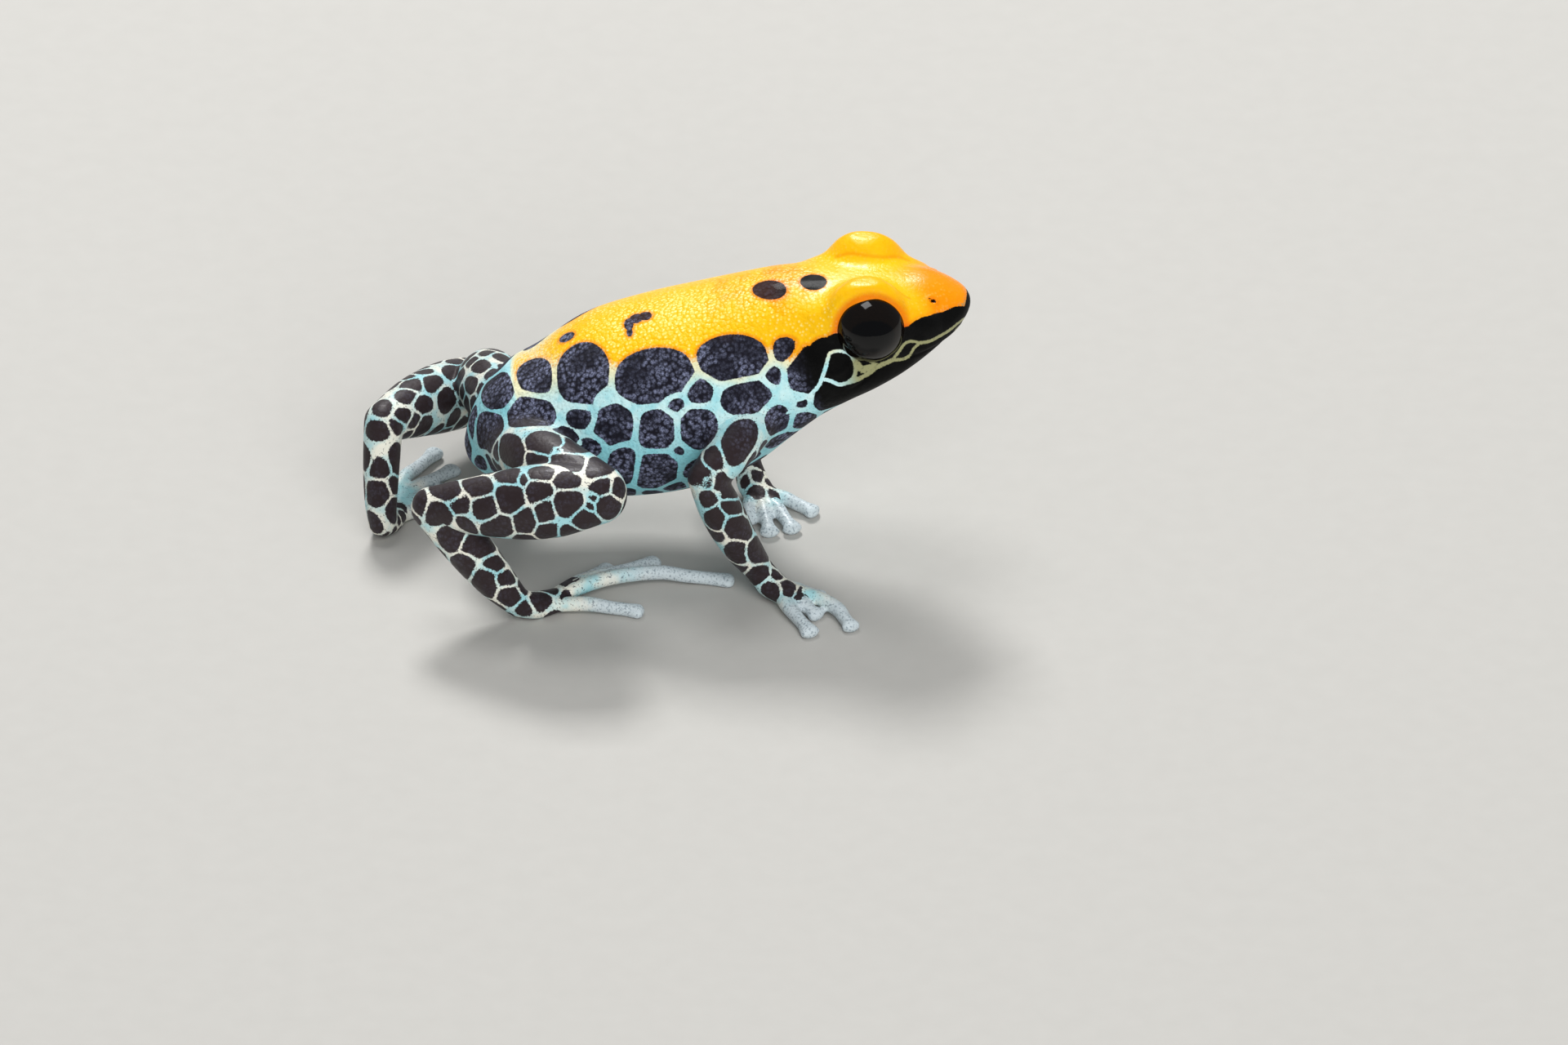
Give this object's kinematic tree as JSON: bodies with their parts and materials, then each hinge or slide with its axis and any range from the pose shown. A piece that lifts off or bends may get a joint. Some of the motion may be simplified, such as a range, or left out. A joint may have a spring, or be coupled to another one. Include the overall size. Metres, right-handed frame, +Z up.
{
  "type": "red-backed poison frog model",
  "caption": "Still, life-size model of a red-backed poison frog sitting on all fours with its head raised.",
  "frame": {"origin": "on the floor, under the middle of the whole frog's box", "axes": "+X towards the snout, +Y the frog's left, +Z up"},
  "size_m": [0.0196, 0.0134, 0.0104],
  "materials": {
    "orange_skin": "moist, finely granular",
    "netted_skin": "moist, black spots in a pale turquoise net",
    "pale_skin": "moist, pale grey-blue",
    "eye": "wet gloss"
  },
  "bodies": {
    "root": {"head": "orange_skin", "torso": "orange_skin", "eye_right": "eye", "eye_left": "eye", "upper_arm_right": "netted_skin", "forearm_right": "netted_skin", "hand_right": "pale_skin", "upper_arm_left": "netted_skin", "forearm_left": "netted_skin", "hand_left": "pale_skin", "thigh_right": "netted_skin", "shank_right": "netted_skin", "tarsus_right": "netted_skin", "foot_right": "pale_skin", "thigh_left": "netted_skin", "shank_left": "netted_skin", "tarsus_left": "netted_skin", "foot_left": "pale_skin"}
  },
  "joints": []
}
